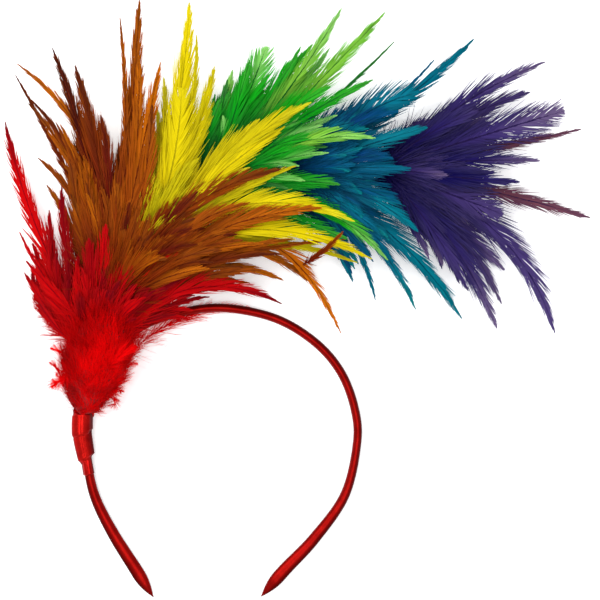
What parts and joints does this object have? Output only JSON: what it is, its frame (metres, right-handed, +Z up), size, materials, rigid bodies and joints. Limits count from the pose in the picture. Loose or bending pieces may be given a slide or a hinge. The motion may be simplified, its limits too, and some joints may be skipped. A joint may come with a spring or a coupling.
{
  "type": "feather headband",
  "caption": "Satin-covered hair band with a plume of dyed feathers in rainbow order bound to one leg, lying on its side.",
  "frame": {"origin": "on the surface that it lies on, under the middle of the whole thing's bounding box", "axes": "+Z up from the surface, +X from the bound leg towards the free leg, +Y from the band's tips towards its arch"},
  "size_m": [0.2654, 0.2714, 0.0364],
  "materials": {
    "satin_band": "satin",
    "satin_ribbon": "satin",
    "red_down": "soft",
    "red_feathers": "soft",
    "orange_feathers": "soft",
    "yellow_feathers": "soft",
    "green_feathers": "soft",
    "teal_feathers": "soft",
    "purple_feathers": "soft"
  },
  "bodies": {
    "root": {"headband": "satin_band", "ribbon_binding": "satin_ribbon", "marabou_puff": "red_down", "red_feathers": "red_feathers", "orange_feathers": "orange_feathers", "yellow_feathers": "yellow_feathers", "green_feathers": "green_feathers", "teal_feathers": "teal_feathers", "purple_feathers": "purple_feathers"}
  },
  "joints": []
}
